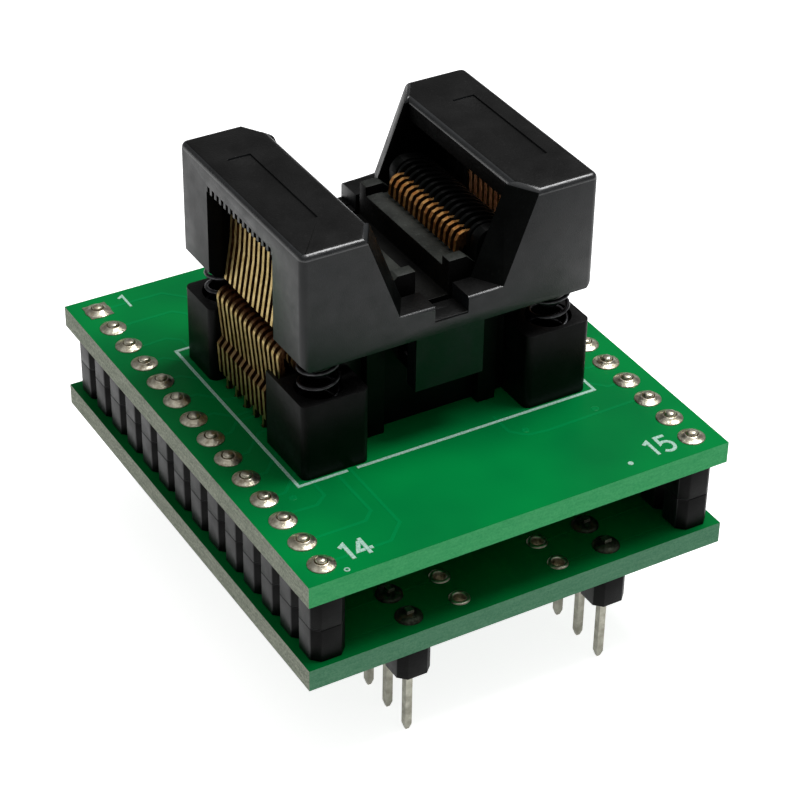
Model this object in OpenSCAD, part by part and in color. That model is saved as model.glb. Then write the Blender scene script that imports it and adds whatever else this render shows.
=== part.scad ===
// Open-top zero-insertion-force socket for a 28-lead thin chip, on two stacked boards
// that bring its contacts out to a wide two-row pin header.
// The origin is under the middle of the boards, on the plane of the pin tips.

/* [Boards] */
// Width of each board, across the pin rows
board_w = 31.6; // [31:0.2:34]
// Length of each board, along the pin rows
board_l = 36.4; // [36:0.2:40]
// Thickness of each board
board_t = 1.6; // [1.2:0.1:2]

/* [Pin rows] */
// Number of pins in each row
pin_count = 14; // [12:1:14]
// Distance from one pin to the next
pin_pitch = 2.54; // [2.3:0.02:2.54]
// Distance between the two outer rows, which join the boards
spacer_rows = 27.94; // [27.5:0.02:28.2]
// Distance between the two plug-in rows under the lower board
plug_rows = 15.24; // [14:0.02:17.78]
// Height of one header strip, and its width
strip_h = 2.54; // [2.2:0.02:3]
// Side of a square spacer pin
spacer_pin = 0.64; // [0.5:0.02:0.66]
// Side of a square plug-in pin
plug_pin = 0.5; // [0.4:0.02:0.6]
// Free length of a plug-in pin below its strip
plug_reach = 5.4; // [3:0.1:8]

/* [Socket] */
// Width of the socket, across its two contact banks
socket_w = 21.8; // [21.8:0.1:22.4]
// Length of the socket, along its contact banks
socket_l = 17; // [17:0.1:18]
// Height of the corner posts above the upper board
post_h = 5.7; // [5:0.1:5.8]
// Distance from one contact to the next
contact_pitch = 0.65; // [0.65:0.01:0.66]
// Number of contacts in each bank
contact_count = 14; // [8:2:14]
// Thickness of a contact
contact_t = 0.28; // [0.2:0.02:0.3]

/* [Cover] */
// Height of the cover
cover_h = 8.6; // [8.4:0.1:9.6]
// How far the cover can be pressed down
cover_travel = 2.3; // [1.8:0.1:2.3]
// Angle that the contact arms turn when the cover is pressed home
arm_swing = 7.5; // [5:0.5:7.5]
// Height of each window sill line above the cover's lower edge
window_h = 6.7; // [6:0.1:6.8]

/* [Springs] */
// Outer diameter of a cover spring
spring_d = 2.9; // [2.7:0.1:2.9]
// Diameter of the spring wire
spring_wire = 0.3; // [0.25:0.01:0.35]
// Number of turns in a spring
spring_turns = 7; // [5:1:8]

/* [Hidden] */
$fn = 32;

// Levels, from the pin tips up
plug_strip_z = plug_reach;
lower_board_z = plug_strip_z + strip_h;
spacer_z = lower_board_z + board_t;
upper_board_z = spacer_z + 2 * strip_h;
top_z = upper_board_z + board_t;

// Header rows
pin_tail = 0.45;
strip_bevel = 0.55;
pin_hole_r = 0.48;
narrow_rows = 7.62;
solder_r = 0.95;
solder_h = 0.42;
pin_tip_taper = 0.45;

// Socket base, with heights above the upper board
contact_l = (contact_count - 1) * contact_pitch + contact_t;
end_wall = 2.1;
slide_gap = 0.2;
bank_room = 0.235;
floor_t = 1;
post_w = 4.9;
post_l = (socket_l - contact_l) / 2 - bank_room;
corner_r = 0.5;
core_w = 14.6;
core_l = socket_l - 2 * (end_wall + slide_gap);
core_h = 8.4;
pocket_floor = 1.6;
pocket_gap = 0.15;
bank_gap = 0.06;
rib_t = contact_pitch - contact_t - 2 * bank_gap;
bank_l = (contact_count + 1) * contact_pitch;
bank_inner = 3.45;
bank_outer = core_w / 2;
end_rib_t = 0.8;
low_rib_u = 9.8;
low_rib_h = 1.8;
rib_shoulder = [bank_inner, 12.2];
rib_nose = [4.5, 12.05];
rib_nose_r = 1.05;
rib_back = [4.5, 9.85];
rib_back_r = 3.22;
rib_sink = 1;
post_x = (socket_w - post_w) / 2;
post_y = (socket_l - post_l) / 2;
spring_x = post_x + 0.3;
spring_y = post_y;
wing_t = 0.25;
wing_l = 1.2;
pillar_x = 4.3;
pillar_w = 1.35;
pillar_h = 7.2;
recess = 0.8;

// Chip seat
seat_w = 6.6;
seat_l = core_l - 0.6;
seat_top = 11;
seat_step = 0.1;
lead_ledge = 2.55;
channel_w = 2.5;
channel_floor = 9.2;
guide_h = 0.7;
guide_l = 0.9;

// Contacts: [distance out from the middle, height above the board]
pivot = [8.66, 6.2];
knuckle_r = 0.3;
knuckle_gap = 0.04;
strip_w = 0.42;
hook = [9.75, 6.9];
hook_r = 0.75;
foot_inner = 7.6;
foot_h = 0.9;
leg_low = [10.46, floor_t];
leg_step = [[10.58, 3.3], [10.2, 3.75]];
leg_inside = [[9.78, 3.8], [10.16, 3.3], [10.02, floor_t + foot_h]];
lever_top = [8.85, 12.95];
arm_under = [[8.1, 8.5], [7.2, 9.7], [6, 10.7], [4.8, 11.25], [3.9, 11.45], [3.4, 11.5]];
arm_tip = [[3.05, 11.02], [2.7, 11.02], [2.62, 11.2], [2.7, 12]];
arm_over = [[2.92, 12.4], [3.35, 12.56], [4, 12.45], [5.2, 12.05], [6.5, 11.3], [7.7, 10.1], [8.5, 8.95]];
lever_inside = [[8.8, 8.75], [8.92, 9.2]];
lever_outside = [[9.05, 13.1], [9.3, 12.95], [9.42, 11.15], [9.89, 8.17], [9.7, 8.03], [9.2, 8.08]];
neck_h = 1.4;
tail_outer = 10.1;
tail_inner = 8.3;
tail_w = 0.34;
tail_reach = board_t + 0.7;
tail_hole_r = 0.3;
tail_solder_r = 0.5;
tail_solder_h = 0.45;

// Cover, with heights above the upper board
cover_z = 8.3;
cover_top = cover_z + cover_h;
side_wall = 1.05;
lintel_h = 7;
lintel_z = cover_z + lintel_h;
mouth_w = 10.5;
sill_h = 2.1;
notch_w = 2.5;
notch_depth = 1.2;
dimple_r = 0.35;
dimple_depth = 0.15;
v_top = 6.4;
v_low = 3.9;
v_inset = 1.3;
v_h = cover_h - sill_h;
window_l = contact_l + 0.37;
comb_depth = 0.45;
comb_w = 0.36;
corner_u = 7.5;
corner_y = contact_l / 2 + 0.385;
label_u = 8.5;
label_w = 1.7;
label_l = 9.2;
label_depth = 0.12;
edge_bevel = 0.5;
tongue_w = 5.1;
tongue_t = 1.1;
tongue_reach = 4.1;
barb_reach = 0.4;
barb_h = 0.7;
catch_w = 4.4;
latch_gap = 0.05;
boss_d = 2;
boss_h = 0.9;
cam_gap = 0.05;
cam_steps = 6;
cam_back = 8.3;

// Colours
solder_mask = [0.05, 0.42, 0.2];
header_black = [0.09, 0.09, 0.1];
socket_black = [0.11, 0.11, 0.12];
seat_black = [0.16, 0.16, 0.16];
tin = [0.72, 0.72, 0.7];
solder_grey = [0.78, 0.76, 0.7];
gold = [0.78, 0.58, 0.28];
steel = [0.35, 0.36, 0.38];

// Place i of n along a row, centred on the middle
function along(i, n, pitch) = (i - (n - 1) / 2) * pitch;

// A contact point turned outward about the pivot
function turned(p, angle) = [
    pivot.x + (p.x - pivot.x) * cos(angle) + (p.y - pivot.y) * sin(angle),
    pivot.y - (p.x - pivot.x) * sin(angle) + (p.y - pivot.y) * cos(angle)
];

// Points on an arc
function arc(centre, r, from, to, steps) = [
    for (i = [0 : steps])
        let (a = from + (to - from) * i / steps)
            [centre.x + r * cos(a), centre.y + r * sin(a)]
];

// Draws its children on the left bank or the right bank; they are modelled on the right
module side(s) {
    if (s < 0) mirror([1, 0, 0]) children();
    else children();
}

module corners() {
    for (x = [0, 1], y = [0, 1]) mirror([x, 0, 0]) mirror([0, y, 0]) children();
}

// An outline in [out, up] made into a plate of thickness t across the row
module plate(t) {
    translate([0, t / 2, 0]) rotate([90, 0, 0]) linear_extrude(t) children();
}

module rounded_rect(w, l, r) {
    square([w - 2 * r, l], center = true);
    square([w, l - 2 * r], center = true);
    for (x = [-1, 1], y = [-1, 1])
        translate([x * (w / 2 - r), y * (l / 2 - r)]) circle(r);
}

module pin_row(x) {
    for (i = [0 : pin_count - 1])
        translate([x, along(i, pin_count, pin_pitch), 0]) children();
}

module contact_row() {
    for (i = [0 : contact_count - 1])
        translate([0, along(i, contact_count, contact_pitch), 0]) children();
}

// Alternate contacts have their tail further in, so the board holes have room
function tail_u(i) = i % 2 == 0 ? tail_outer : tail_inner;

module tail_row() {
    for (i = [0 : contact_count - 1])
        translate([tail_u(i), along(i, contact_count, contact_pitch), 0]) children();
}

// ---- Boards and headers ----

module board(z) {
    translate([0, 0, z + board_t / 2]) cube([board_w, board_l, board_t], center = true);
}

module drill_row(x, r, z) {
    translate([0, 0, z - 1]) pin_row(x) cylinder(r = r, h = board_t + 2);
}

module upper_board() {
    color(solder_mask) difference() {
        board(upper_board_z);
        for (s = [-1, 1]) {
            drill_row(s * spacer_rows / 2, pin_hole_r, upper_board_z);
            side(s) translate([0, 0, upper_board_z - 1]) tail_row() cylinder(r = tail_hole_r, h = board_t + 2);
        }
    }
}

module lower_board() {
    color(solder_mask) difference() {
        board(lower_board_z);
        for (s = [-1, 1], row = [spacer_rows, plug_rows, narrow_rows])
            drill_row(s * row / 2, pin_hole_r, lower_board_z);
    }
}

// One header position: a square block with bevelled corners
module strip_unit() {
    half = pin_pitch / 2;
    wide = strip_h / 2;
    polygon([
        [-wide, strip_bevel - half], [strip_bevel - wide, -half],
        [wide - strip_bevel, -half], [wide, strip_bevel - half],
        [wide, half - strip_bevel], [wide - strip_bevel, half],
        [strip_bevel - wide, half], [-wide, half - strip_bevel]
    ]);
}

module strip(x, z, hole) {
    body_w = strip_h - 2 * strip_bevel;
    body_l = (pin_count - 1) * pin_pitch;
    color(header_black) translate([0, 0, z]) linear_extrude(strip_h) difference() {
        union() {
            pin_row(x) strip_unit();
            translate([x, 0]) square([body_w, body_l], center = true);
        }
        pin_row(x) square(hole, center = true);
    }
}

// A square pin with a tapered lower tip
module square_pin(side_w, z, h, taper) {
    tip = side_w / 2;
    outline = [[-tip / 2, z], [tip / 2, z], [tip, z + taper], [tip, z + h], [-tip, z + h], [-tip, z + taper]];
    intersection() {
        plate(side_w) polygon(outline);
        rotate([0, 0, 90]) plate(side_w) polygon(outline);
    }
}

module spacer_pins(x) {
    z = lower_board_z - solder_h - pin_tail;
    color(tin) pin_row(x) translate([-spacer_pin / 2, -spacer_pin / 2, z])
        cube([spacer_pin, spacer_pin, top_z + solder_h + pin_tail / 2 - z]);
}

module plug_pins(x) {
    color(tin) pin_row(x) square_pin(plug_pin, 0, spacer_z + solder_h + pin_tail / 2, pin_tip_taper);
}

// A domed solder joint on a face at height 0, round a square pin
module solder_joint(r, h, hole) {
    difference() {
        rotate_extrude() polygon(concat(
            [[0, 0]],
            [for (a = [0 : 15 : 75]) [r * cos(a), h * sin(a)]],
            [[0, h]]
        ));
        translate([0, 0, h / 2]) cube([hole, hole, 2 * h], center = true);
    }
}

module solder_row(x, z, facing, hole) {
    color(solder_grey) pin_row(x) translate([0, 0, z]) {
        if (facing > 0) solder_joint(solder_r, solder_h, hole);
        else mirror([0, 0, 1]) solder_joint(solder_r, solder_h, hole);
    }
}

// ---- Socket base and chip seat ----

// Partition between two contacts, with an arched top
rib_outline = concat(
    [[bank_inner, core_h - rib_sink], rib_shoulder],
    arc(rib_nose, rib_nose_r, 170, 80, 6),
    arc(rib_back, rib_back_r, 76, acos((bank_outer - rib_back.x) / rib_back_r), 6),
    [[bank_outer, core_h - rib_sink]]
);

module bank_ribs() {
    for (i = [0 : contact_count])
        translate([0, along(i, contact_count + 1, contact_pitch), 0]) {
            plate(rib_t) polygon(rib_outline);
            translate([bank_outer - 0.5, -rib_t / 2, floor_t - 0.5])
                cube([low_rib_u - bank_outer + 0.5, rib_t, low_rib_h + 0.5]);
        }
    for (y = [-1, 1])
        translate([0, y * (bank_l + end_rib_t) / 2, 0]) plate(end_rib_t) polygon(rib_outline);
}

module post() {
    translate([post_x, post_y, 0]) linear_extrude(post_h) rounded_rect(post_w, post_l, corner_r);
}

// Thin wall from a front post across the legs of the last two contacts
module wing() {
    translate([socket_w / 2 - wing_t, post_l - socket_l / 2 - corner_r - 0.1, 0])
        cube([wing_t, wing_l + corner_r + 0.1, post_h]);
}

// Hollow in an end wall of the core, with two pillars left standing in it
module end_recess() {
    difference() {
        translate([-core_w / 2, core_l / 2 - recess, -1]) cube([core_w, recess + 1, pillar_h + 1]);
        for (s = [-1, 1]) translate([s * pillar_x - pillar_w / 2, 0, -2]) cube([pillar_w, core_l, pillar_h + 3]);
    }
}

module spring_pocket() {
    translate([spring_x, spring_y, pocket_floor]) cylinder(d = spring_d + 2 * pocket_gap, h = core_h);
}

// Ledge at each end that the cover's tongue hooks under
module catch() {
    low = cover_z - tongue_reach + barb_h + latch_gap;
    high = cover_z - cover_travel - latch_gap;
    root = core_l / 2 - recess - 0.2;
    translate([-catch_w / 2, root, low]) cube([catch_w, socket_l / 2 - tongue_t - 0.3 - root, high - low]);
}

module socket_base() {
    color(socket_black) translate([0, 0, top_z]) difference() {
        union() {
            translate([-low_rib_u, post_l - socket_l / 2, 0]) cube([2 * low_rib_u, socket_l - 2 * post_l, floor_t]);
            difference() {
                translate([-core_w / 2, -core_l / 2, 0]) cube([core_w, core_l, core_h]);
                for (y = [0, 1]) mirror([0, y, 0]) end_recess();
            }
            corners() post();
            for (s = [-1, 1]) side(s) wing();
            for (y = [0, 1]) mirror([0, y, 0]) catch();
            for (s = [-1, 1]) side(s) bank_ribs();
        }
        corners() spring_pocket();
        for (s = [-1, 1]) side(s) translate([0, 0, -1]) tail_row()
            translate([-tail_w / 2 - 0.05, -contact_t / 2 - 0.05, 0])
                cube([tail_w + 0.1, contact_t + 0.1, floor_t + 2]);
    }
}

// Insert that the chip lies on: two rails with a step for the leads, and a channel between
module chip_seat() {
    half = [
        [channel_w / 2, channel_floor], [channel_w / 2, seat_top], [lead_ledge, seat_top],
        [lead_ledge, seat_top - seat_step], [seat_w / 2, seat_top - seat_step], [seat_w / 2, core_h]
    ];
    other = [for (i = [len(half) - 1 : -1 : 0]) [-half[i].x, half[i].y]];
    guide = [
        [channel_w / 2, seat_top - 0.3], [channel_w / 2, seat_top + guide_h], [lead_ledge, seat_top + guide_h],
        [seat_w / 2, seat_top], [seat_w / 2, seat_top - 0.3]
    ];
    color(seat_black) translate([0, 0, top_z]) {
        plate(seat_l) polygon(concat(half, other));
        for (s = [-1, 1], y = [-1, 1]) side(s)
            translate([0, y * (seat_l - guide_l) / 2, 0]) plate(guide_l) polygon(guide);
    }
}

// ---- Contacts ----

// Fixed half: foot, stepped leg and hook, ending in a cup round the arm's knuckle
module root_outline() {
    cup_r = knuckle_r + knuckle_gap;
    polygon(concat(
        [[foot_inner, floor_t], leg_low], leg_step,
        arc(hook, hook_r, -8, 180, 12),
        [[hook.x - hook_r, pivot.y]],
        arc(pivot, cup_r, 0, -180, 8),
        arc(pivot, cup_r + strip_w, 180, 360, 8),
        arc(hook, hook_r - strip_w, 180, 0, 6),
        leg_inside, [[foot_inner, floor_t + foot_h]]
    ));
}

module contact_roots(s) {
    color(gold) translate([0, 0, top_z]) side(s) {
        contact_row() plate(contact_t) root_outline();
        tail_row() translate([-tail_w / 2, -contact_t / 2, -tail_reach])
            cube([tail_w, contact_t, tail_reach + floor_t + 0.4]);
    }
}

// Moving half: knuckle, lever up towards the cover's cam, and arm in to the chip's lead
module arm_outline() {
    inside = pivot.x - 0.57 * strip_w;
    outside = pivot.x + 0.38 * strip_w;
    translate(pivot) circle(knuckle_r);
    polygon(concat(
        [[inside, pivot.y], [inside, pivot.y + neck_h]], arm_under, arm_tip, arm_over,
        lever_inside, [lever_top], lever_outside,
        [[outside, pivot.y + neck_h], [outside, pivot.y]]
    ));
}

module contact_arms(s) {
    color(gold) translate([0, 0, top_z]) side(s) contact_row() plate(contact_t) arm_outline();
}

module tail_solder(s) {
    color(solder_grey) side(s) translate([0, 0, upper_board_z]) tail_row() mirror([0, 0, 1])
        difference() {
            cylinder(r1 = tail_solder_r, r2 = tail_w / 2 + 0.1, h = tail_solder_h);
            cube([tail_w, contact_t, 4], center = true);
        }
}

// ---- Cover ----

// Cam face that clears the lever's corner at every depth of press
cam_face = [
    for (i = [0 : cam_steps])
        let (press = cover_travel * i / cam_steps, p = turned(lever_top, arm_swing * i / cam_steps))
            [p.x - cam_gap, p.y + press]
];

module cam_bar() {
    plate(2 * corner_y) polygon(concat(
        [[cam_back, lintel_z + 0.5], [cam_back, lever_top.y]],
        cam_face,
        [[cam_face[cam_steps].x, lintel_z + 0.5]]
    ));
}

// Space that opens each end wall into a V, wider outside than inside
module v_opening() {
    n = cross([-v_inset, end_wall, 0], [v_top - v_low, 0, v_h]);
    tilt = asin(-n.z / norm(n));
    turn = atan2(n.y, n.x);
    difference() {
        translate([-v_top - 1, -socket_l / 2 - 1, cover_z + sill_h])
            cube([2 * v_top + 2, end_wall + 1.1, cover_h]);
        for (s = [-1, 1]) side(s) translate([v_top, -socket_l / 2, cover_top])
            rotate([0, tilt, turn]) translate([0, -20, -20]) cube(40);
    }
}

module cover_shell() {
    inner_l = socket_l - 2 * end_wall;
    difference() {
        translate([0, 0, cover_z]) linear_extrude(cover_h) rounded_rect(socket_w, socket_l - 0.1, corner_r);
        translate([side_wall - socket_w / 2, -inner_l / 2, cover_z - 1])
            cube([socket_w - 2 * side_wall, inner_l, lintel_z - cover_z + 1]);
        translate([-mouth_w / 2, -inner_l / 2, cover_z]) cube([mouth_w, inner_l, cover_h + 1]);
        for (y = [0, 1]) mirror([0, y, 0]) v_opening();
        translate([-notch_w / 2, -socket_l, cover_z + sill_h - notch_depth])
            cube([notch_w, 2 * socket_l, cover_h]);
        for (s = [-1, 1]) translate([0, s * (socket_l - end_wall) / 2, cover_z + sill_h - notch_depth - dimple_depth])
            cylinder(r = dimple_r, h = 1);
        translate([-socket_w, -window_l / 2, cover_z - 1]) cube([2 * socket_w, window_l, window_h + 1]);
        for (s = [-1, 1]) side(s) {
            contact_row() translate([cam_back + 1, -comb_w / 2, cover_z])
                cube([socket_w, comb_w, window_h + comb_depth]);
            translate([label_u - label_w / 2, -label_l / 2, cover_top - label_depth])
                cube([label_w, label_l, 1]);
        }
    }
}

// Slopes along the lower edges of the two end walls
module lower_bevel() {
    for (s = [-1, 1]) side(s) translate([socket_w / 2, 0, cover_z]) rotate([0, 45, 0])
        cube([edge_bevel * sqrt(2), 2 * socket_l, edge_bevel * sqrt(2)], center = true);
}

module tongue() {
    outer = socket_l / 2 - 0.15;
    inner = outer - tongue_t;
    translate([-tongue_w / 2, inner, cover_z - tongue_reach]) cube([tongue_w, tongue_t, tongue_reach + 1]);
    translate([0, 0, cover_z - tongue_reach]) rotate([0, 0, 90]) plate(catch_w - 0.4)
        polygon([[inner + 0.1, 0], [inner - barb_reach / 3, 0], [inner - barb_reach, barb_h], [inner + 0.1, barb_h]]);
}

module spring_boss() {
    translate([spring_x, spring_y, cover_z - boss_h]) cylinder(d = boss_d, h = boss_h + 0.5);
    translate([spring_x, spring_y, cover_z - boss_h]) sphere(d = boss_d);
}

module cover() {
    color(socket_black) translate([0, 0, top_z]) difference() {
        union() {
            cover_shell();
            corners() {
                translate([corner_u, corner_y, cover_z])
                    cube([socket_w / 2 - corner_u - 0.5, socket_l / 2 - corner_y - 1, lintel_z - cover_z + 0.5]);
                spring_boss();
            }
            for (y = [0, 1]) mirror([0, y, 0]) tongue();
            for (s = [-1, 1]) side(s) cam_bar();
        }
        lower_bevel();
    }
}

// ---- Springs ----

module coil_spring(x, y) {
    coil_r = (spring_d - spring_wire) / 2;
    low = pocket_floor + spring_wire / 2 + 0.02;
    high = cover_z - spring_wire / 2 - 0.02;
    steps = 16;
    sides = 6;
    rings = spring_turns * steps;
    points = [
        for (k = [0 : rings], q = [0 : sides - 1])
            let (a = 360 * k / steps, b = 360 * q / sides, r = coil_r + spring_wire / 2 * cos(b))
                [r * cos(a), r * sin(a), low + (high - low) * k / rings + spring_wire / 2 * sin(b)]
    ];
    skin = [
        for (k = [0 : rings - 1], q = [0 : sides - 1], half = [0, 1])
            let (a = k * sides + q, b = k * sides + (q + 1) % sides)
                half == 0 ? [a, a + sides, b] : [b, a + sides, b + sides]
    ];
    ends = [[for (q = [0 : sides - 1]) q], [for (q = [sides - 1 : -1 : 0]) rings * sides + q]];
    color(steel) translate([x, y, top_z]) polyhedron(points, concat(skin, ends));
}

upper_board();
lower_board();
strip(-spacer_rows / 2, spacer_z + strip_h, spacer_pin);  // spacer_strip_upper_left
strip(spacer_rows / 2, spacer_z + strip_h, spacer_pin);  // spacer_strip_upper_right
strip(-spacer_rows / 2, spacer_z, spacer_pin);  // spacer_strip_lower_left
strip(spacer_rows / 2, spacer_z, spacer_pin);  // spacer_strip_lower_right
spacer_pins(-spacer_rows / 2);  // spacer_pins_left
spacer_pins(spacer_rows / 2);  // spacer_pins_right
solder_row(-spacer_rows / 2, top_z, 1, spacer_pin);  // top_solder_left
solder_row(spacer_rows / 2, top_z, 1, spacer_pin);  // top_solder_right
solder_row(-spacer_rows / 2, lower_board_z, -1, spacer_pin);  // under_solder_left
solder_row(spacer_rows / 2, lower_board_z, -1, spacer_pin);  // under_solder_right
strip(-plug_rows / 2, plug_strip_z, plug_pin);  // plug_strip_left
strip(plug_rows / 2, plug_strip_z, plug_pin);  // plug_strip_right
plug_pins(-plug_rows / 2);  // plug_pins_left
plug_pins(plug_rows / 2);  // plug_pins_right
solder_row(-plug_rows / 2, spacer_z, 1, plug_pin);  // plug_solder_left
solder_row(plug_rows / 2, spacer_z, 1, plug_pin);  // plug_solder_right
socket_base();
chip_seat();
contact_roots(-1);  // contact_roots_left
contact_roots(1);  // contact_roots_right
contact_arms(-1);  // contact_arms_left
contact_arms(1);  // contact_arms_right
tail_solder(-1);  // tail_solder_left
tail_solder(1);  // tail_solder_right
cover();
coil_spring(-spring_x, -spring_y);  // spring_front_left
coil_spring(spring_x, -spring_y);  // spring_front_right
coil_spring(-spring_x, spring_y);  // spring_back_left
coil_spring(spring_x, spring_y);  // spring_back_right
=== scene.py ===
"""Looks of the open-top chip socket on its two-board adapter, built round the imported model."""
import math
import random

import bmesh
import bpy
from mathutils import Matrix, Vector


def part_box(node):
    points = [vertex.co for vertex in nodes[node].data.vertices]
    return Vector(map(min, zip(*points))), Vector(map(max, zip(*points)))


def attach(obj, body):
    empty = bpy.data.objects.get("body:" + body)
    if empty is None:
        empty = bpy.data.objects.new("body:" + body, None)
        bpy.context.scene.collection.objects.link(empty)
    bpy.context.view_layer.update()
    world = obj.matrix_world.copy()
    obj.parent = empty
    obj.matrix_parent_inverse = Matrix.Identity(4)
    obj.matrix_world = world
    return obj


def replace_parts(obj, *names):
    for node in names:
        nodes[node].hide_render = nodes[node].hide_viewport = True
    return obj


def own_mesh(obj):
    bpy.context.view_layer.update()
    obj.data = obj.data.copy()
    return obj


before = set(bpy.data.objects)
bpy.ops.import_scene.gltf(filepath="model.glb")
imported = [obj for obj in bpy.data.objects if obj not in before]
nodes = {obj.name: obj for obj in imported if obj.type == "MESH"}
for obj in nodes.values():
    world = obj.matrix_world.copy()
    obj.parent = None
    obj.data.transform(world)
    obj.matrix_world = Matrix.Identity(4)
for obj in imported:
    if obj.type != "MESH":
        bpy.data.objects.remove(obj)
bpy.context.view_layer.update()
MM = 0.001
rng = random.Random(28)

# Lengths are in millimetres, and become metres when a mesh is published. Only those of the floor, the
# lamp and the camera's clipping are in metres. x runs across the pin rows, y from the front to the back,
# and z up from the tips of the plug-in pins.


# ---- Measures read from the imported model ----

def low(node):
    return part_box(node)[0] / MM


def high(node):
    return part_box(node)[1] / MM


BOARD_TOP = high("upper_board").z
LOWER_TOP = high("lower_board").z
ROW_X = (low("top_solder_right").x + high("top_solder_right").x) / 2
PLUG_X = (low("plug_solder_right").x + high("plug_solder_right").x) / 2
NARROW_X = PLUG_X / 2
PIN_COUNT = 14
PIN_END = low("top_solder_right").y + (high("top_solder_right").x - low("top_solder_right").x) / 2
PITCH = -2 * PIN_END / (PIN_COUNT - 1)
SOCKET_X = high("socket_base").x
SOCKET_Y = high("socket_base").y
COVER_FAR = high("cover")
SEAT_TOP = high("chip_seat").z
CONTACT_PITCH = 0.65
CONTACTS = 14


def pin_y(i):
    """Place of pin i in its row, counted from the back."""
    return -PIN_END - i * PITCH


# ---- Materials ----

X, Y, Z = range(3)
NOISE_ROUGHNESS = 0.55
SQUARE_ON = (0.45, 0.55)  # where a face stops looking past an axis and starts to look along it
MASK_ROUGHNESS = 0.33
CUT_ROUGHNESS = 0.8
MASK_SPECULAR = 0.06
DUST_SHARE = 0.35
DUST_PALER = 3.2
METAL_ROUGHNESS = (0.26, 0.46)
RUBBED = 0.006  # depth of the drawing marks in metal
COPPERY = (5.0 * MM, 7.6 * MM)  # distance from the middle at which a contact turns from copper to gold
HOOKED = (6.5 * MM, 8.0 * MM)  # distance from the middle at which a contact's hook starts


class Paint:
    """Builds one node material."""

    def __init__(self, name):
        self.mat = bpy.data.materials.new(name)
        self.mat.use_nodes = True
        self.tree = self.mat.node_tree
        self.shader = self.tree.nodes["Principled BSDF"]
        self.coords = self.tree.nodes.new("ShaderNodeTexCoord").outputs["Object"]

    def add(self, kind, **values):
        made = self.tree.nodes.new(kind)
        for key, value in values.items():
            setattr(made, key, value)
        return made

    def feed(self, socket, value):
        if isinstance(value, bpy.types.NodeSocket):
            self.tree.links.new(value, socket)
        else:
            socket.default_value = value

    def noise(self, size, detail, stretch=(1, 1, 1)):
        """Noise whose features are about size millimetres across."""
        mapping = self.add("ShaderNodeMapping")
        self.feed(mapping.inputs["Vector"], self.coords)
        mapping.inputs["Scale"].default_value = [1 / s for s in stretch]
        found = self.add("ShaderNodeTexNoise")
        self.feed(found.inputs["Vector"], mapping.outputs["Vector"])
        found.inputs["Scale"].default_value = 1 / (size * MM)
        found.inputs["Detail"].default_value = detail
        found.inputs["Roughness"].default_value = NOISE_ROUGHNESS
        return found.outputs["Fac"]

    def span(self, value, a, b, to_a=0.0, to_b=1.0):
        """Maps value from a..b to to_a..to_b, held at the ends."""
        made = self.add("ShaderNodeMapRange")
        self.feed(made.inputs["Value"], value)
        for name, number in zip(("From Min", "From Max", "To Min", "To Max"), (a, b, to_a, to_b)):
            made.inputs[name].default_value = number
        return made.outputs["Result"]

    def mix(self, factor, a, b):
        made = self.add("ShaderNodeMix", data_type="RGBA")
        self.feed(made.inputs[0], factor)
        for socket, value in ((made.inputs[6], a), (made.inputs[7], b)):
            self.feed(socket, value if isinstance(value, bpy.types.NodeSocket) else (*value, 1))
        return made.outputs[2]

    def reckon(self, operation, a, b=0.0):
        made = self.add("ShaderNodeMath", operation=operation)
        self.feed(made.inputs[0], a)
        self.feed(made.inputs[1], b)
        return made.outputs[0]

    def size_along(self, vector, axis):
        """A vector's part along an axis, without its sign."""
        parts = self.add("ShaderNodeSeparateXYZ")
        self.feed(parts.inputs[0], vector)
        return self.reckon("ABSOLUTE", parts.outputs[axis])

    def facing(self, axis):
        """How squarely the face looks along an axis, from 0 to 1."""
        return self.size_along(self.add("ShaderNodeNewGeometry").outputs["Normal"], axis)

    def bump(self, height, depth, strength=1.0, under=None):
        """Bump whose full height is depth millimetres."""
        made = self.add("ShaderNodeBump")
        self.feed(made.inputs["Height"], height)
        made.inputs["Distance"].default_value = depth * MM
        made.inputs["Strength"].default_value = strength
        if under is not None:
            self.feed(made.inputs["Normal"], under)
        return made.outputs["Normal"]

    def finish(self, colour, roughness, normal, specular=0.5, metallic=0.0):
        self.feed(self.shader.inputs["Base Color"], colour)
        self.feed(self.shader.inputs["Roughness"], roughness)
        self.feed(self.shader.inputs["Normal"], normal)
        self.shader.inputs["Specular IOR Level"].default_value = specular
        self.shader.inputs["Metallic"].default_value = metallic
        return self.mat


def mask_material(name, dark, light, clean_dark, clean_light):
    """Green solder mask on both faces. The long edges show the glass fibre, and the ends are cut clean."""
    p = Paint(name)
    green = p.mix(p.span(p.noise(9, 2), 0.35, 0.65), dark, light)
    fibres = p.noise(0.16, 4, (1, 1, 0.8))
    layers = p.noise(0.14, 2, (9, 9, 1))
    grain = p.reckon("ADD", p.reckon("MULTIPLY", fibres, 0.65), p.reckon("MULTIPLY", layers, 0.35))
    rough_edge = p.mix(p.span(grain, 0.34, 0.62), (0.27, 0.31, 0.24), (0.62, 0.66, 0.54))
    clean_end = p.mix(p.span(grain, 0.36, 0.62), clean_dark, clean_light)
    cut = p.mix(p.span(p.facing(X), *SQUARE_ON), clean_end, rough_edge)
    flat = p.span(p.facing(Z), *SQUARE_ON)
    roughness = p.span(flat, 0.0, 1.0, CUT_ROUGHNESS, MASK_ROUGHNESS)
    weave = p.reckon("MULTIPLY", p.noise(0.5, 2), p.reckon("MULTIPLY", flat, 0.12))
    height = p.reckon("ADD", p.reckon("MULTIPLY", grain, p.reckon("SUBTRACT", 1.0, flat)), weave)
    return p.finish(p.mix(flat, cut, green), roughness, p.bump(height, 0.06), specular=MASK_SPECULAR)


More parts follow.
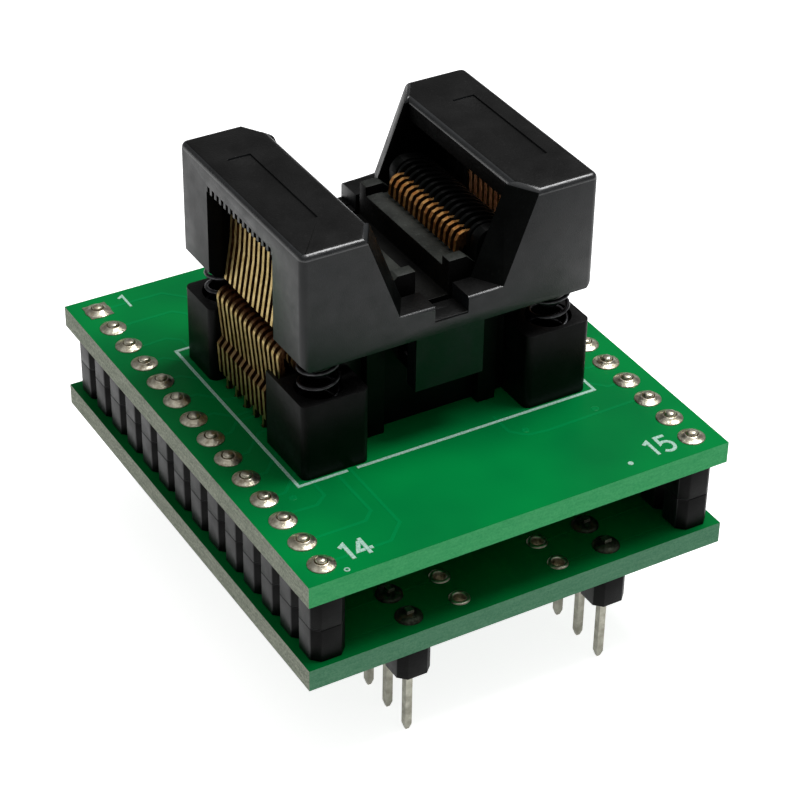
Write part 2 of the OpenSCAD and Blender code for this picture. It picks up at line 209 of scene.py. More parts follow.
def plastic_material(name, dark, light, roughness, specular, grain=0.09, depth=0.012):
    """Moulded plastic: a fine spark-eroded grain over slow changes of tone, with specks of dust."""
    p = Paint(name)
    tone = p.mix(p.span(p.noise(2.6, 3), 0.35, 0.68), dark, light)
    dust = p.reckon("MULTIPLY", p.span(p.noise(0.22, 4), 0.60, 0.74), DUST_SHARE)
    dusty = p.mix(dust, tone, tuple(DUST_PALER * c for c in light))
    coarse = p.noise(1.1, 3)
    gloss = p.span(coarse, 0.3, 0.7, roughness - 0.06, roughness + 0.07)
    waves = p.bump(coarse, depth * 1.4, 0.5)
    return p.finish(dusty, gloss, p.bump(p.noise(grain, 2), depth, 0.8, waves), specular=specular)


def metal_material(name, dark, light, grain, stretch=(1, 1, 1)):
    """Metal with faint drawing marks and slow changes of tone."""
    p = Paint(name)
    tone = p.mix(p.span(p.noise(0.55, 3), 0.35, 0.65), dark, light)
    marks = p.noise(grain, 3, stretch)
    return p.finish(tone, p.span(marks, 0.3, 0.7, *METAL_ROUGHNESS), p.bump(marks, RUBBED), metallic=1.0)


def contact_material():
    """Gold-plated strip: pale on its rolled faces, coppery towards the tips, brown on its cut sides (bare
    metal deepened by painted shade in the gaps) and on its hook tops (painted shade).
    """
    p = Paint("contact_gold")
    gold = p.mix(p.span(p.noise(0.5, 3), 0.35, 0.65), (0.42, 0.30, 0.10), (0.66, 0.51, 0.23))
    patches = p.span(p.noise(0.3, 2), 0.4, 0.6)
    copper = p.mix(patches, (0.70, 0.29, 0.08), (0.93, 0.52, 0.18))
    # painted shade: the brown of the hooks' upward faces, under the cover
    brown = p.mix(patches, (0.12, 0.05, 0.022), (0.25, 0.12, 0.05))
    out = p.size_along(p.coords, X)
    plated = p.mix(p.span(out, *COPPERY), copper, gold)
    hook = p.reckon("MULTIPLY", p.span(p.facing(Z), 0.35, 0.8), p.span(out, *HOOKED))
    rolled = p.mix(hook, plated, brown)
    # the cut sides: bare metal, darkened by painted shade in the narrow gaps between contacts
    shear_marks = p.span(p.noise(0.16, 3, (1, 1, 3)), 0.4, 0.65)
    cut_side_shade = p.mix(shear_marks, (0.13, 0.055, 0.022), (0.32, 0.16, 0.07))
    colour = p.mix(p.span(p.facing(Y), 0.5, 0.6), rolled, cut_side_shade)
    marks = p.noise(0.1, 3, (1, 1, 4))
    return p.finish(colour, p.span(marks, 0.3, 0.7, 0.34, 0.52), p.bump(marks, RUBBED), metallic=1.0)


def solder_material(name, dark, light, roughness):
    """Solder: slightly rippled, with duller patches of brown flux."""
    p = Paint(name)
    ripple = p.noise(0.34, 2)
    tone = p.mix(p.span(ripple, 0.35, 0.66), dark, light)
    flux = p.span(p.noise(0.5, 3), 0.52, 0.68)
    colour = p.mix(p.reckon("MULTIPLY", flux, 0.55), tone, (0.22, 0.15, 0.08))
    gloss = p.span(flux, 0.0, 1.0, roughness, roughness + 0.3)
    return p.finish(colour, gloss, p.bump(ripple, 0.035), metallic=1.0)


def ink_material():
    """Pale legend ink, thin in places."""
    p = Paint("legend_ink")
    wear = p.noise(0.14, 4)
    colour = p.mix(p.span(wear, 0.38, 0.6), (0.30, 0.56, 0.44), (0.52, 0.74, 0.64))
    return p.finish(colour, p.span(wear, 0.3, 0.7, 0.5, 0.7), p.bump(wear, 0.01), specular=0.3)


GREEN_END = ((0.065, 0.50, 0.175), (0.11, 0.60, 0.23))
GREY_END = ((0.10, 0.30, 0.17), (0.16, 0.38, 0.23))
MASK = mask_material("solder_mask", (0.0, 0.185, 0.042), (0.0, 0.245, 0.05), *GREEN_END)
# Painted shade: the lower board's mask is a darker copy of the green, for the gap under the upper board
MASK_LOWER_SHADE = mask_material("solder_mask_lower_shade", (0.0, 0.135, 0.028), (0.0, 0.195, 0.04), *GREY_END)
TRACE = mask_material("masked_copper", (0.0, 0.215, 0.054), (0.0, 0.275, 0.065), *GREEN_END)

HEADER = plastic_material("header_plastic", (0.002, 0.002, 0.003), (0.006, 0.006, 0.007),
                          roughness=0.4, specular=0.4)
# Painted shade: a darker, duller copy of the header plastic for the faces that look forwards or back
HEADER_END_SHADE = plastic_material("header_end_shade", (0.001, 0.001, 0.001), (0.003, 0.003, 0.003),
                              roughness=0.45, specular=0.09)
SIDES = plastic_material("cover_side", (0.002, 0.0028, 0.0035), (0.0055, 0.007, 0.0085),
                         roughness=0.36, specular=0.36)
BASE = plastic_material("base_side", (0.001, 0.0014, 0.0012), (0.0035, 0.0042, 0.004),
                        roughness=0.36, specular=0.09)
# Painted highlight: a paler, glossier copy of the cover's plastic for its rounded rim and lips
RIM_HIGHLIGHT = plastic_material("cover_rim_highlight", (0.004, 0.005, 0.006), (0.012, 0.014, 0.016),
                       roughness=0.3, specular=1.0)
# Painted shade: a near-black, dull plastic for hollows and ends that lie in shade
INSIDE_SHADE = plastic_material("cover_inside_shade", (0.001, 0.001, 0.001), (0.002, 0.002, 0.002),
                         roughness=0.6, specular=0.04)
TOPS = plastic_material("socket_top", (0.003, 0.003, 0.003), (0.008, 0.008, 0.008),
                        roughness=0.42, specular=0.17, grain=0.16, depth=0.03)
SEAT = plastic_material("seat_plastic", (0.002, 0.002, 0.002), (0.006, 0.006, 0.005),
                        roughness=0.5, specular=0.14, grain=0.2, depth=0.03)
RAIL = plastic_material("seat_rail", (0.012, 0.014, 0.012), (0.036, 0.040, 0.035),
                        roughness=0.55, specular=0.3, grain=0.2, depth=0.04)

PIN = metal_material("pin_tin", (0.29, 0.28, 0.23), (0.46, 0.45, 0.38), 0.1, (1, 1, 5))
SPRING = metal_material("spring_steel", (0.035, 0.035, 0.037), (0.085, 0.085, 0.09), 0.12)
CONTACT = contact_material()
SOLDER = solder_material("solder_bright", (0.50, 0.46, 0.35), (0.80, 0.76, 0.62), 0.3)
# Flux with painted shade: the dark solder of the moat round each pin
FLUX_AND_SHADE = solder_material("fluxed_solder_and_shade", (0.10, 0.075, 0.045), (0.22, 0.17, 0.11), 0.35)
SOLDER_SHADED = solder_material("solder_shaded", (0.03, 0.035, 0.025), (0.09, 0.10, 0.075), 0.5)
SOLDER_DULL = solder_material("solder_dull", (0.30, 0.29, 0.27), (0.55, 0.54, 0.50), 0.4)
INK = ink_material()


# ---- Mesh helpers ----

WELD = 0.002
COPLANAR = math.radians(1)
SHARP = math.radians(30)
WIDE_STEPS = 4
EDGE_STEPS = 2
RIBBON_TOP = 0.86  # width of a ribbon's top as a share of its foot
MITRE_LEAST = 0.35  # keeps a mitre at a tight turn from running out to a spike


def publish(name, bm, materials, body="adapter", smooth_angle=35):
    """Makes a bmesh in millimetres into a piece that rides on a body."""
    bmesh.ops.scale(bm, vec=(MM, MM, MM), verts=bm.verts)
    mesh = bpy.data.meshes.new(name)
    bm.to_mesh(mesh)
    bm.free()
    for mat in materials:
        mesh.materials.append(mat)
    obj = bpy.data.objects.new(name, mesh)
    bpy.context.scene.collection.objects.link(obj)
    for polygon in mesh.polygons:
        polygon.use_smooth = True
    mesh.set_sharp_from_angle(angle=math.radians(smooth_angle))
    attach(obj, body)
    return obj


def dress(node, mat):
    mesh = nodes[node].data
    mesh.materials.clear()
    mesh.materials.append(mat)


def bevel(bm, edges, radius, segments, clamp=True):
    bmesh.ops.bevel(bm, geom=edges, offset=radius, offset_type="OFFSET", segments=segments, profile=0.5,
                    affect="EDGES", clamp_overlap=clamp, loop_slide=True)


def soften(node, name, radius, materials, body="adapter", paint=None, first=()):
    """A copy of a CAD node with its sharp edges rounded.

    paint picks one of the materials for each face. first holds pairs of a test and a radius, for edges
    that are rounded more than the rest."""
    bm = bmesh.new()
    bm.from_mesh(nodes[node].data)
    bmesh.ops.scale(bm, vec=(1 / MM, 1 / MM, 1 / MM), verts=bm.verts)
    bmesh.ops.remove_doubles(bm, verts=bm.verts, dist=WELD)
    bmesh.ops.dissolve_limit(bm, angle_limit=COPLANAR, verts=bm.verts, edges=bm.edges)
    for test, wide in first:
        chosen = [e for e in bm.edges if e.calc_face_angle(0) > SHARP and test(e)]
        bevel(bm, chosen, wide, WIDE_STEPS, clamp=False)
    bm.normal_update()
    sharp = [e for e in bm.edges if len(e.link_faces) == 2 and e.calc_face_angle(0) > SHARP]
    bevel(bm, sharp, radius, EDGE_STEPS)
    bm.normal_update()
    if paint is not None:
        for face in bm.faces:
            face.material_index = materials.index(paint(face))
    piece = publish(name, bm, materials, body)
    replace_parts(piece, node)
    return piece


def circle(radius, turns):
    """Points round the upright axis, anticlockwise from x."""
    return [Vector((radius * math.cos(a), radius * math.sin(a), 0))
            for a in (math.tau * k / turns for k in range(turns))]


def lathe(bm, profile, centre, turns=16, lean=(0, 0)):
    """A turned form: profile is (radius, height) pairs from the rim in, and may close on the axis."""
    rings = []
    for r, z in profile:
        at = Vector((centre[0] + lean[0] * z, centre[1] + lean[1] * z, centre[2] + z))
        rings.append([bm.verts.new(at + step) for step in (circle(r, turns) if r else [Vector()])])
    for one, two in zip(rings, rings[1:]):
        for k in range(turns):
            corners = [one[k], one[(k + 1) % turns], two[(k + 1) % len(two)], two[k % len(two)]]
            bm.faces.new(corners if len(two) > 1 else corners[:3])


def ribbon(bm, points, width, z, thick):
    """A flat raised line through points, with sloped sides and mitred corners."""
    path = [Vector((x, y, 0)) for x, y in points]
    rows = []
    for i, p in enumerate(path):
        back = (p - path[i - 1]).normalized() if i else (path[1] - p).normalized()
        ahead = (path[i + 1] - p).normalized() if i < len(path) - 1 else back
        across = Vector((-(back + ahead).y, (back + ahead).x, 0)).normalized()
        across /= max(MITRE_LEAST, across.dot(Vector((-ahead.y, ahead.x, 0))))
        rows.append([bm.verts.new(p + across * s * width / 2 + Vector((0, 0, z + h)))
                     for s, h in ((1, 0), (RIBBON_TOP, thick), (-RIBBON_TOP, thick), (-1, 0))])
    for one, two in zip(rows, rows[1:]):
        for k in range(3):
            bm.faces.new([one[k], one[k + 1], two[k + 1], two[k]])
    bm.faces.new(rows[0][::-1])
    bm.faces.new(rows[-1])


# ---- Camera, floor and light ----

CAMERA_AZIMUTH = math.radians(-30.69)
CAMERA_ELEVATION = math.radians(34.68)
CAMERA_ROLL = math.radians(1.0)
CAMERA_AT = Vector((-72.97, -125.04, BOARD_TOP + 97.86)) * MM
SENSOR = 36
LENS = 114.6
CLIP_START = 0.005
FLOOR_REACH = 3
FLOOR_DROP = 0.00005
FLOOR_GLOW = (("Is Camera Ray", 0.85), ("Is Glossy Ray", 0.5), ("Is Transmission Ray", 0.5))
SKY = (("From Min", 0.6), ("From Max", 0.98), ("To Min", 0.17), ("To Max", 0.6))
LAMP_AT = (0.105, -0.015, 0.27)
LAMP_AIM = Vector((0, 0, 0.018))
LAMP_SIZE = 0.15
LAMP_LEVEL = 0.76  # at 1, the lamp alone shows white as white


def make_camera():
    flat = math.cos(CAMERA_ELEVATION)
    back = Vector((math.sin(CAMERA_AZIMUTH) * flat, -math.cos(CAMERA_AZIMUTH) * flat,
                   math.sin(CAMERA_ELEVATION)))
    right = (-back).cross(Vector((0, 0, 1))).normalized()
    up = back.cross(right)
    turned_right = math.cos(CAMERA_ROLL) * right + math.sin(CAMERA_ROLL) * up
    turned_up = math.cos(CAMERA_ROLL) * up - math.sin(CAMERA_ROLL) * right
    data = bpy.data.cameras.new("camera")
    data.sensor_width = SENSOR
    data.lens = LENS
    data.clip_start = CLIP_START
    camera = bpy.data.objects.new("camera", data)
    camera.matrix_world = Matrix.Translation(CAMERA_AT) @ \
        Matrix((turned_right, turned_up, back)).transposed().to_4x4()
    bpy.context.scene.collection.objects.link(camera)
    bpy.context.scene.camera = camera


def paper_material():
    """Pale paper. Its glow shows and mirrors but lights nothing, so it looks white and keeps its shadow."""
    mat = bpy.data.materials.new("floor_paper")
    mat.use_nodes = True
    tree = mat.node_tree
    shader = tree.nodes["Principled BSDF"]
    shader.inputs["Base Color"].default_value = (0.86, 0.86, 0.86, 1)
    shader.inputs["Roughness"].default_value = 0.9
    shader.inputs["Specular IOR Level"].default_value = 0.1
    shader.inputs["Emission Color"].default_value = (1, 1, 1, 1)
    path = tree.nodes.new("ShaderNodeLightPath")
    total = None
    for ray, level in FLOOR_GLOW:
        part = tree.nodes.new("ShaderNodeMath")
        part.operation = "MULTIPLY_ADD"
        tree.links.new(path.outputs[ray], part.inputs[0])
        part.inputs[1].default_value = level
        part.inputs[2].default_value = 0.0
        if total is not None:
            tree.links.new(total, part.inputs[2])
        total = part.outputs[0]
    tree.links.new(total, shader.inputs["Emission Strength"])
    return mat


def make_floor():
    bm = bmesh.new()
    bmesh.ops.create_grid(bm, x_segments=2, y_segments=2, size=FLOOR_REACH)
    mesh = bpy.data.meshes.new("floor")
    bm.to_mesh(mesh)
    bm.free()
    mesh.materials.append(paper_material())
    floor = bpy.data.objects.new("floor", mesh)
    floor.location.z = -FLOOR_DROP
    bpy.context.scene.collection.objects.link(floor)


def make_sky():
    """A white sky that brightens towards its top."""
    world = bpy.data.worlds.new("studio")
    world.use_nodes = True
    bpy.context.scene.world = world
    tree = world.node_tree
    coords = tree.nodes.new("ShaderNodeTexCoord")
    parts = tree.nodes.new("ShaderNodeSeparateXYZ")
    tree.links.new(coords.outputs["Generated"], parts.inputs[0])
    fade = tree.nodes.new("ShaderNodeMapRange")
    for key, number in SKY:
        fade.inputs[key].default_value = number
    tree.links.new(parts.outputs[Z], fade.inputs["Value"])
    tree.links.new(fade.outputs["Result"], tree.nodes["Background"].inputs["Strength"])
    tree.nodes["Background"].inputs["Color"].default_value = (1, 1, 1, 1)


def make_lamp():
    """A soft area lamp aimed at the middle of the object."""
    data = bpy.data.lights.new("lamp_over", "AREA")
    data.shape = "DISK"
    data.size = LAMP_SIZE
    away = Vector(LAMP_AT) - LAMP_AIM
    data.energy = LAMP_LEVEL * (math.pi * away.length) ** 2
    lamp = bpy.data.objects.new("lamp_over", data)
    lamp.location = LAMP_AT
    lamp.rotation_euler = away.to_track_quat("Z", "Y").to_euler()
    bpy.context.scene.collection.objects.link(lamp)


make_camera()
make_floor()
make_sky()
make_lamp()
bpy.context.scene.view_settings.view_transform = "Standard"


# ---- Plain CAD nodes ----

dress("upper_board", MASK)
dress("lower_board", MASK_LOWER_SHADE)
for side in ("left", "right"):
    for node, mat in (("plug_pins_", PIN), ("contact_roots_", CONTACT), ("contact_arms_", CONTACT),
                      ("plug_solder_", SOLDER_SHADED), ("under_solder_", SOLDER_DULL),
                      ("tail_solder_", SOLDER_DULL)):
        dress(node + side, mat)


# ---- Socket and headers, with moulded edges ----

BASE_ROUND = 0.08
COVER_ROUND = 0.12
RIM_ROUND = 0.42
LIP_ROUND = 0.24
SEAT_ROUND = 0.06
STRIP_ROUND = 0.06

# A face looks along an axis when its normal's share along it is above one of these.
SIDEWAYS = 0.7
UPWARD = 0.9
LEVEL = 0.97

NEAR = 0.01
FRAME_LOW = BOARD_TOP + 8.0  # just under the cover's frame
LIP_LOW = BOARD_TOP + 6.0
LIP_HIGH = COVER_FAR.z - 1.5
LIP_IN = 0.3
LIP_SLOPE = (0.3, LEVEL)
RIM_IN = 0.6
RIM_Y = 6.35
RIM_DROP = 0.45
RIM_SLOPE = 0.15
WALL_IN = 1.0
WALL_SLOPE = (0.1, 0.6)
WINDOW_IN = 0.15
WINDOW_DEEP = 4.0
WINDOW_Y = 6.3
TOP_SKIN = 0.6
MOUTH_X = 7.5
MOUTH_Y = WINDOW_Y + 0.2
TOPS_LOW = BOARD_TOP + 1.5
RAIL_LOW = SEAT_TOP - 1.3


def rim_edge(edge):
    """Whether an edge runs round the outside of the cover's top."""
    return all(v.co.z > COVER_FAR.z - NEAR and (abs(v.co.x) > COVER_FAR.x - RIM_IN or abs(v.co.y) > RIM_Y)
               for v in edge.verts)


def lip_edge(edge):
    """Whether an edge is one that an end opening's floor makes with the cover's front or back."""
    level = abs(edge.verts[0].co.z - edge.verts[1].co.z) < NEAR
    outer = all(abs(v.co.y) > COVER_FAR.y - 2 * NEAR and LIP_LOW < v.co.z < LIP_HIGH for v in edge.verts)
    return level and outer and any(face.normal.z > UPWARD for face in edge.link_faces)


def paint_cover(face):
    """Paler lips and rim as painted highlight, darker walls in the end openings and black hollows inside as
    painted shade, and plain tops.
    """
    at, up = face.calc_center_median(), face.normal.z
    x, y = abs(at.x), abs(at.y)
    # painted highlight on the lips of the end openings
    if LIP_SLOPE[0] < up < LIP_SLOPE[1] and y > COVER_FAR.y - LIP_IN and at.z > LIP_LOW:
        return RIM_HIGHLIGHT
    # painted shade: the sloping walls of the end openings take the base's darker, duller plastic
    sloping = abs(face.normal.x) > SIDEWAYS and WALL_SLOPE[0] < up < WALL_SLOPE[1]
    if sloping and x < COVER_FAR.x - WALL_IN and y > WINDOW_Y:
        return BASE
    if up > LEVEL and at.z > FRAME_LOW:
        return TOPS
    # painted highlight on the rounded faces of the rim
    if up > RIM_SLOPE and at.z > COVER_FAR.z - RIM_DROP:
        return RIM_HIGHLIGHT
    # painted shade behind the side windows and inside the mouth
    behind_window = COVER_FAR.x - WINDOW_DEEP < x < COVER_FAR.x - WINDOW_IN and y < WINDOW_Y
    if behind_window and at.z < COVER_FAR.z - TOP_SKIN:
        return INSIDE_SHADE
    if y < MOUTH_Y and x < MOUTH_X and at.z > FRAME_LOW:
        return INSIDE_SHADE
    return SIDES


def paint_base(face):
    return TOPS if face.normal.z > UPWARD and face.calc_center_median().z > TOPS_LOW else BASE


def paint_seat(face):
    """Black ends as painted shade, and paler tops on the rails."""
    if abs(face.normal.y) > SIDEWAYS:
        return INSIDE_SHADE
    return RAIL if face.normal.z > SIDEWAYS and face.calc_center_median().z > RAIL_LOW else SEAT


def paint_header(face):
    # painted shade on the faces that look along y
    return HEADER_END_SHADE if abs(face.normal.y) > SIDEWAYS else HEADER


soften("socket_base", "base_moulding", BASE_ROUND, (BASE, TOPS), paint=paint_base)
soften("cover", "cover_moulding", COVER_ROUND, (SIDES, TOPS, INSIDE_SHADE, RIM_HIGHLIGHT, BASE), "cover",
       paint=paint_cover, first=((rim_edge, RIM_ROUND), (lip_edge, LIP_ROUND)))
soften("chip_seat", "seat_moulding", SEAT_ROUND, (SEAT, RAIL, INSIDE_SHADE), paint=paint_seat)
for side in ("left", "right"):
    for node in ("spacer_strip_upper_", "spacer_strip_lower_", "plug_strip_"):
        soften(node + side, node + "moulding_" + side, STRIP_ROUND, (HEADER, HEADER_END_SHADE),
               paint=paint_header)


# ---- Springs ----

WIRE_R = 0.15
WIRE_SIDES = 8
COIL_TURNS = 7
COIL_CLOSED = 1.0  # turns that lie closed at each end
COIL_STEPS = 20


def coil_line(lo, hi):
    """The angle and height of each step along the middle of a coil's wire."""
    rise = hi.z - lo.z - 2 * WIRE_R - 4 * WIRE_R * COIL_CLOSED
    for k in range(COIL_TURNS * COIL_STEPS + 1):
        t = k / COIL_STEPS
        closed = min(t, COIL_CLOSED) + max(0.0, t - (COIL_TURNS - COIL_CLOSED))
        share = (t - closed) / (COIL_TURNS - 2 * COIL_CLOSED)
        yield math.tau * t, lo.z + WIRE_R + 2 * WIRE_R * closed + rise * share


def make_spring(end, side):
    """A coil with closed ends."""
    node = f"spring_{end}_{side}"
    lo, hi = low(node), high(node)
    reach = (hi.x - lo.x) / 2 - WIRE_R
    centre = (lo + hi) / 2
    bm = bmesh.new()
    rings = []
    for a, z in coil_line(lo, hi):
        rings.append([bm.verts.new((centre.x + (reach + WIRE_R * math.cos(b)) * math.cos(a),
                                    centre.y + (reach + WIRE_R * math.cos(b)) * math.sin(a),
                                    z + WIRE_R * math.sin(b)))
                      for b in (math.tau * q / WIRE_SIDES for q in range(WIRE_SIDES))])
    for one, two in zip(rings, rings[1:]):
        for q in range(WIRE_SIDES):
            bm.faces.new([one[q], two[q], two[(q + 1) % WIRE_SIDES], one[(q + 1) % WIRE_SIDES]])
    bm.faces.new(rings[0])
    bm.faces.new(rings[-1][::-1])
    bmesh.ops.recalc_face_normals(bm, faces=bm.faces)
    coil = publish(f"coil_{end}_{side}", bm, (SPRING,), smooth_angle=60)
    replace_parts(coil, node)
    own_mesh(coil)


for end in ("front", "back"):
    for side in ("left", "right"):
        make_spring(end, side)


# ---- Spacer pins, solder joints and pads ----

PIN_TOP = 0.42
PIN_WIDTH = 0.6
PIN_BEVEL = 0.09
PAD_R = 0.94
# A joint's outline, in radius and height: the pad's rim, the fillet, the moat of flux with painted shade
# and the pin's cap
JOINT = [(PAD_R, 0), (PAD_R, 0.05), (0.89, 0.08), (0.78, 0.12), (0.66, 0.18), (0.56, 0.25), (0.50, 0.30),
         (0.46, 0.31), (0.42, 0.28), (0.38, 0.26), (0.36, 0.40), (0.30, 0.46), (0.18, 0.50), (0, 0.515)]
PAD_LAST = 2  # the last point of the outline that belongs to the pad
MOAT = (7, 9)  # the bands of the outline that are painted as flux and painted shade
JOINT_TURNS = 28
SWELL = (0.96, 1.06)
LEAN = 0.15
TALLER = (0.92, 1.12)
SQUARE_PAD = (1.72, 1.72, 0.05)
SQUARE_PAD_LIFT = 0.024
HOLE_R = 0.42
RING_R = 0.74
RING_T = 0.14
RING_BEVEL = 0.03
HOLE_DEEP = 1.5


def add_block(bm, size, centre):
    made = bmesh.ops.create_cube(bm, size=1)["verts"]
    bmesh.ops.scale(bm, vec=size, verts=made)
    bmesh.ops.translate(bm, vec=centre, verts=made)


def make_spacer_pins(side, sign):
    """Square pins right through both boards, with their ends just under the solder's peak."""
    node = f"spacer_pins_{side}"
    foot, top = low(node).z, BOARD_TOP + PIN_TOP
    bm = bmesh.new()
    for i in range(PIN_COUNT):
        add_block(bm, (PIN_WIDTH, PIN_WIDTH, top - foot), (sign * ROW_X, pin_y(i), (top + foot) / 2))
    bmesh.ops.bevel(bm, geom=bm.edges[:], offset=PIN_BEVEL, segments=2, affect="EDGES")
    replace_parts(publish(f"pins_{side}", bm, (PIN,)), node)


def make_joints(side, sign):
    """A row of solder joints that differ a little. The first in the left row has a square pad."""
    bm = bmesh.new()
    for i in range(PIN_COUNT):
        swell = rng.uniform(*SWELL)
        lean = (rng.uniform(-LEAN, LEAN), rng.uniform(-LEAN, LEAN))
        taller = rng.uniform(*TALLER)
        profile = [(r * (swell if PAD_LAST < k < MOAT[0] else 1), z * (taller if k > PAD_LAST else 1))
                   for k, (r, z) in enumerate(JOINT)]
        start = len(bm.faces)
        lathe(bm, profile, (sign * ROW_X, pin_y(i), BOARD_TOP), JOINT_TURNS, lean)
        bm.faces.ensure_lookup_table()
        for face in bm.faces[start + MOAT[0] * JOINT_TURNS:start + MOAT[1] * JOINT_TURNS]:
            face.material_index = 1
    if sign < 0:
        add_block(bm, SQUARE_PAD, (sign * ROW_X, pin_y(0), BOARD_TOP + SQUARE_PAD_LIFT))
    piece = publish(f"joints_{side}", bm, (SOLDER, FLUX_AND_SHADE), smooth_angle=70)
    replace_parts(piece, f"top_solder_{side}")


def make_narrow_pads():
    """Tinned rings of the second, narrower pair of plug-in rows, whose plated holes have no pins."""
    profile = [(RING_R, 0), (RING_R - RING_BEVEL, RING_T / 2), ((RING_R + HOLE_R) / 2, RING_T),
               (HOLE_R + RING_BEVEL, RING_T / 2), (HOLE_R, 0), (HOLE_R, -HOLE_DEEP)]
    bm = bmesh.new()
    for sign in (-1, 1):
        for i in range(PIN_COUNT):
            lathe(bm, profile, (sign * NARROW_X, pin_y(i), LOWER_TOP), JOINT_TURNS)
    publish("narrow_pads", bm, (SOLDER,), smooth_angle=80)


for side, sign in (("left", -1), ("right", 1)):
    make_spacer_pins(side, sign)
    make_joints(side, sign)
make_narrow_pads()


# ---- Copper tracks under the green mask ----

TRACK_W = 0.26
TRACK_T = 0.012
SINK = 0.01
PAD_EXIT = 0.9  # from a row's middle to where its tracks begin
TURN_IN = 1.5
SLOPE_MOST = 1.6
BANK_EDGE = 9.0
UNDER_SOCKET = SOCKET_Y - 0.4
VIA = [(0.3, -0.005), (0.28, 0.01), (0.16, 0.014), (0.12, 0.004), (0, 0.003)]
VIAS = ((4.74, -10.47), (10.2, -10.64), (-12.3, -9.6), (7.2, 12.6), (-4.4, 13.1))
LINK_STOPS = (PLUG_X - PAD_EXIT, NARROW_X + 0.7)
OUTER_STOPS = (ROW_X - PAD_EXIT, ROW_X - 2.2, PLUG_X + 1.4, PLUG_X + 0.8)


def track(bm, points, z=BOARD_TOP):
    ribbon(bm, points, TRACK_W, z - SINK, TRACK_T + SINK)


def foot_y(i):
    """Place along the row of contact i's foot."""
    return (CONTACTS / 2 - 0.5 - i) * CONTACT_PITCH


def corner_route(n, far, front_right):
    """Corners of the track of one of a row's three end pads, which runs round the socket's corner."""
    start = ROW_X - PAD_EXIT
    if n == 0:
        return [(start, far), (9.0, far), (7.6, far - 1.4), (7.6, UNDER_SOCKET)]
    if n == 1:
        return [(start, far), (9.4, far), (8.6, far - 0.8), (8.6, UNDER_SOCKET)]
    if front_right:
        return [(start, far - 0.3), (6.1, far - 0.2), (4.6, far - 0.4), (3.7, far - 1.3),
                (3.7, UNDER_SOCKET)]
    return [(start, far - 0.5), (11.3, far - 0.4), (10.4, far - 1.1), (10.4, UNDER_SOCKET)]


def side_route(far, foot):
    """Corners of a middle pad's track, which goes in under the socket's side towards its contact."""
    turn = ROW_X - TURN_IN
    slope = min(far - foot, SLOPE_MOST)
    return [(ROW_X - PAD_EXIT, far), (turn, far), (turn - slope, far - slope), (BANK_EDGE, far - slope)]


def make_upper_tracks():
    """One track for each pad but the front two on the right; routes are distances from the middle."""
    bm = bmesh.new()
    for sign in (-1, 1):
        for i in range(PIN_COUNT):
            y = pin_y(i)
            end = math.copysign(1, y)
            n = min(i, PIN_COUNT - 1 - i)
            front_right = sign > 0 and end < 0
            if front_right and n < 2:
                continue
            if n < 3:
                route = corner_route(n, abs(y), front_right)
            else:
                route = side_route(abs(y), abs(foot_y(i)))
            track(bm, [(sign * x, end * v) for x, v in route])
    publish("upper_tracks", bm, (TRACE,), smooth_angle=50)


def make_vias():
    bm = bmesh.new()
    for x, y in VIAS:
        lathe(bm, VIA, (x, y, BOARD_TOP))
    publish("upper_vias", bm, (TRACE,), smooth_angle=50)


def make_lower_tracks():
    """Short links from each plug-in joint in to the narrow-row pad and out to the spacer pin."""
    bm = bmesh.new()
    for sign in (-1, 1):
        for i in range(PIN_COUNT):
            for stops in (LINK_STOPS, OUTER_STOPS):
                track(bm, [(sign * x, pin_y(i)) for x in stops], LOWER_TOP)
    publish("lower_tracks", bm, (MASK_LOWER_SHADE,), smooth_angle=50)


make_upper_tracks()
make_vias()
make_lower_tracks()


# ---- Legend ----

INK_W = 0.24
INK_T = 0.03
INK_SINK = 0.002
LAYER = 0.004
FRAME_X = SOCKET_X + 0.5
FRAME_FRONT = -(SOCKET_Y + 0.25)
FRAME_BACK = SOCKET_Y + 0.7
BREAK = (-7.8, -7.1)  # the gap in the frame's front line
DIGIT_H = 1.68
DIGIT_STEP = 1.08
BAR_Y = 0.52  # height of the 4's bar
# Each pin number: its text, the place of its first digit's foot, and the width of its strokes
PIN_NUMBERS = (("1", -12.2, 15.95, 0.2), ("14", -12.45, -17.0, 0.3), ("15", 10.45, -17.12, 0.27))
DOT_AT = (8.76, -17.0)
DOT_R = 0.2
DOT_SLOPE = 0.02
LOOP_AT = (-12.85, -17.72)
LOOP_R = 0.16
LOOP_W = 0.1


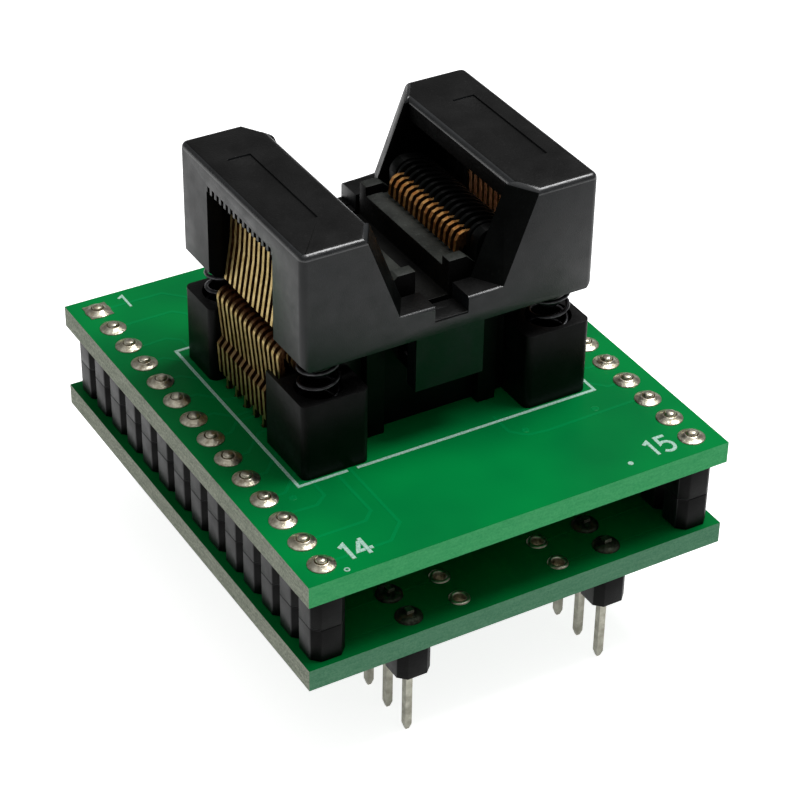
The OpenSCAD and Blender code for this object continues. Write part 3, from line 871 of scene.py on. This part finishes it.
def ink(bm, points, width=INK_W, layer=0):
    """A printed stroke; a digit's strokes lie in layers, so that none share a plane where they meet."""
    ribbon(bm, points, width, BOARD_TOP - INK_SINK, INK_T + layer * LAYER)


def bow(cx, cy, rx, ry, start, end, steps):
    """Points on an ellipse's arc, from start to end in degrees."""
    return [(cx + rx * math.cos(math.radians(a)), cy + ry * math.sin(math.radians(a)))
            for a in (start + (end - start) * k / steps for k in range(steps + 1))]


# Strokes of plain line digits in a cell about 1 wide, with its foot at y = 0
DIGITS = {
    "1": [[(0.16, DIGIT_H - 0.34), (0.55, DIGIT_H - 0.1), (0.55, 0)]],
    "4": [[(0.5, BAR_Y), (0.02, BAR_Y), (0.5, DIGIT_H - 0.24)],
          [(0.66, DIGIT_H), (0.66, 0)],
          [(0.82, BAR_Y), (1.06, BAR_Y)]],
    "5": [[(0.88, DIGIT_H), (0.18, DIGIT_H), (0.14, 0.95)] + bow(0.45, 0.55, 0.5, 0.53, 108, -140, 14)],
}


def make_frame():
    """The white rectangle round the socket, open for a little way at the front."""
    bm = bmesh.new()
    ink(bm, [(BREAK[0], FRAME_FRONT), (-FRAME_X, FRAME_FRONT), (-FRAME_X, FRAME_BACK),
             (FRAME_X, FRAME_BACK), (FRAME_X, FRAME_FRONT), (BREAK[1], FRAME_FRONT)])
    publish("legend_frame", bm, (INK,))


def make_numbers():
    bm = bmesh.new()
    for text, x, y, width in PIN_NUMBERS:
        for k, digit in enumerate(text):
            for layer, stroke in enumerate(DIGITS[digit]):
                ink(bm, [(x + DIGIT_STEP * k + u, y + v) for u, v in stroke], width, layer)
    publish("pin_numbers", bm, (INK,), smooth_angle=50)


def make_marks():
    """The dot beside the number 15, and the small loop beside the number 14."""
    bm = bmesh.new()
    lathe(bm, [(DOT_R, -INK_SINK), (DOT_R - DOT_SLOPE, INK_T), (0, INK_T)], (*DOT_AT, BOARD_TOP))
    ink(bm, bow(*LOOP_AT, LOOP_R, LOOP_R, 0, 350, 12), LOOP_W)
    publish("small_marks", bm, (INK,), smooth_angle=50)


make_frame()
make_numbers()
make_marks()
